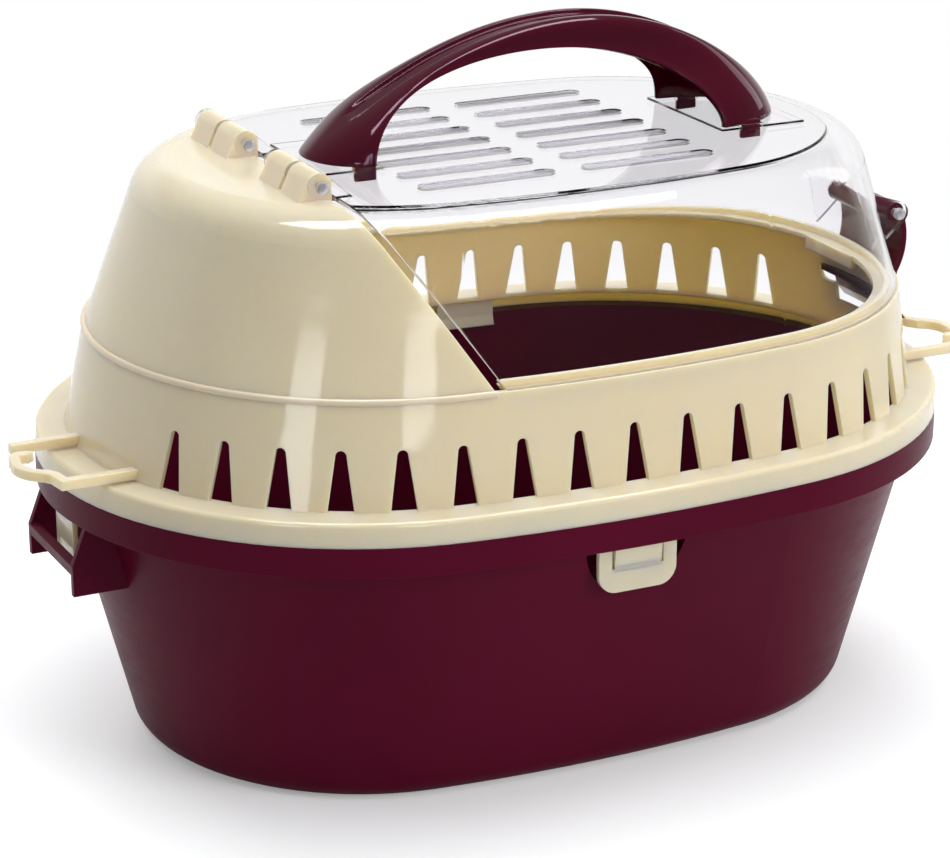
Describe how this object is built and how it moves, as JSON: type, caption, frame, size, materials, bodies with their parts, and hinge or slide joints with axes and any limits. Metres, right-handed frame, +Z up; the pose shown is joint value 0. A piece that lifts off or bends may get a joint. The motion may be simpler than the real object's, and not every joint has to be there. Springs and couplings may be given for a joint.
{
  "type": "small animal carrier",
  "caption": "Oval plastic carrier: deep tub, slotted upper ring with a hood, clear hinged lid with a latch, and an arched carrying handle.",
  "frame": {"origin": "centre of the tub's flat base, on the surface it stands on", "axes": "+X along the carrier towards the lid's latch, +Y across it away from the front shown in the picture, +Z up"},
  "size_m": [0.4412, 0.284, 0.2955],
  "materials": {
    "dark_shell": "gloss",
    "pale_shell": "gloss",
    "clear_lid": "clear",
    "dark_grip": "gloss",
    "clear_pin": "clear"
  },
  "bodies": {
    "tub": {"base_tub": "dark_shell"},
    "housing": {"upper_housing": "pale_shell", "front_clip": "pale_shell", "rear_clip": "pale_shell"},
    "lid": {"lid": "clear_lid", "handle": "dark_grip", "hinge_pin_front": "clear_pin", "hinge_pin_rear": "clear_pin", "latch_pin": "clear_pin"},
    "latch": {"lid_latch": "dark_grip"},
    "front_tongue": {"front_clip_tongue": "pale_shell"},
    "rear_tongue": {"rear_clip_tongue": "pale_shell"}
  },
  "joints": [
    {"name": "housing_lift", "type": "slide", "parent": "tub", "child": "housing", "axis": [0, 0, 1], "range_m": [0, 0.06]},
    {"name": "lid_hinge", "type": "hinge", "parent": "housing", "child": "lid", "pos_m": [-0.1045, 0, 0.2508], "axis": [0, -1, 0], "range_deg": [0, 110]},
    {"name": "latch_swing", "type": "hinge", "parent": "lid", "child": "latch", "pos_m": [0.18645, 0, 0.1968], "axis": [0, -1, 0], "range_deg": [0, 45]},
    {"name": "front_tongue_press", "type": "hinge", "parent": "housing", "child": "front_tongue", "pos_m": [0, -0.13035, 0.1004], "axis": [-1, 0, 0], "range_deg": [0, 10], "stiffness_Nm_per_rad": 0.5},
    {"name": "rear_tongue_press", "type": "hinge", "parent": "housing", "child": "rear_tongue", "pos_m": [0, 0.13035, 0.1004], "axis": [1, 0, 0], "range_deg": [0, 10], "stiffness_Nm_per_rad": 0.5}
  ]
}
